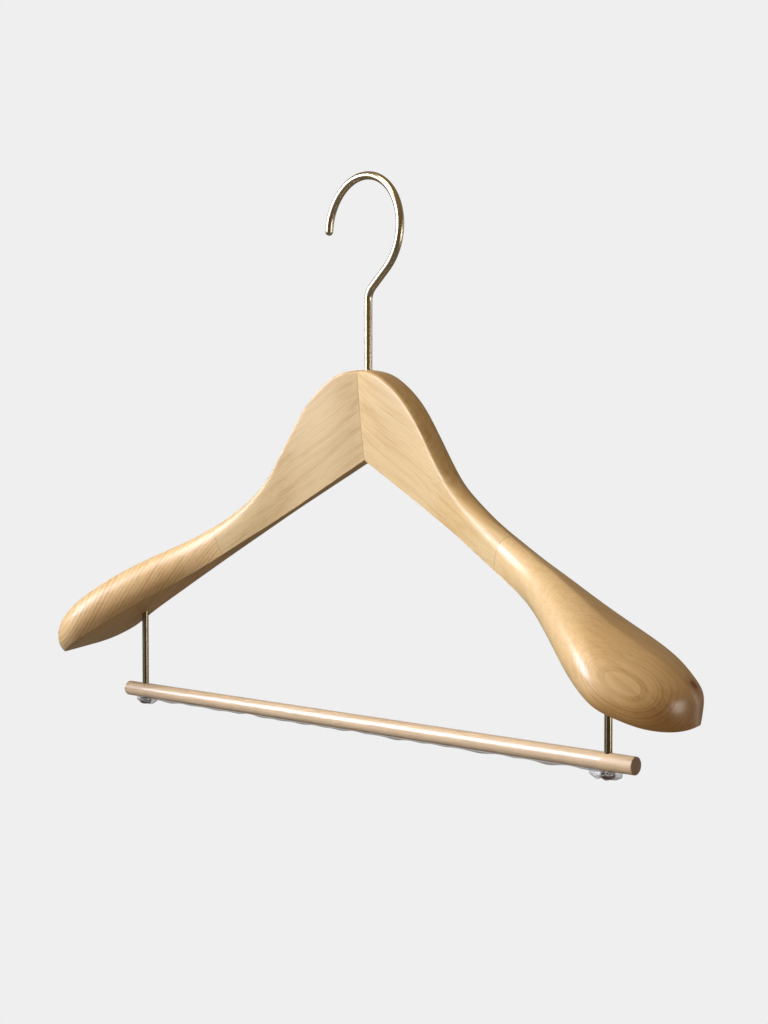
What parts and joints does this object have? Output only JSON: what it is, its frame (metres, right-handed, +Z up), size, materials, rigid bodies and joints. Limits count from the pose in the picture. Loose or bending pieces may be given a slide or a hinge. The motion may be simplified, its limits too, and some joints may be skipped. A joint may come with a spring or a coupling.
{
  "type": "clothes hanger",
  "caption": "Wooden clothes hanger with wide carved shoulders, a swivelling wire hook and a round trouser bar on two rods in a clear grip sleeve.",
  "frame": {"origin": "the hook's seat: the point inside the loop, on the stem's axis, that rests on the rail", "axes": "+X along the hanger to its right shoulder, -Y the front, +Z up along the hook's stem"},
  "size_m": [0.422, 0.0652, 0.2879],
  "materials": {
    "arm_wood": "satin lacquer",
    "shoulder_wood": "satin lacquer",
    "bar_wood": "satin lacquer",
    "dowel_wood": "raw",
    "brass": "polished",
    "steel": "plain",
    "clear_vinyl": "clear gloss"
  },
  "bodies": {
    "hook": {"hook": "brass", "hook_nut": "brass"},
    "hanger": {"swivel_sleeve": "brass", "swivel_washer": "steel", "head_dowels": "dowel_wood", "arm_left": "arm_wood", "arm_right": "arm_wood", "shoulder_left": "shoulder_wood", "shoulder_right": "shoulder_wood", "shoulder_dowels_left": "dowel_wood", "shoulder_dowels_right": "dowel_wood", "trouser_bar": "bar_wood", "bar_rod_left": "brass", "bar_rod_right": "brass", "rod_cap_left": "brass", "rod_cap_right": "brass", "grip_sleeve": "clear_vinyl"}
  },
  "joints": [
    {"name": "hook_swivel", "type": "hinge", "parent": "hook", "child": "hanger", "pos_m": [0, 0, -0.0973], "axis": [0, 0, 1], "continuous": true}
  ]
}
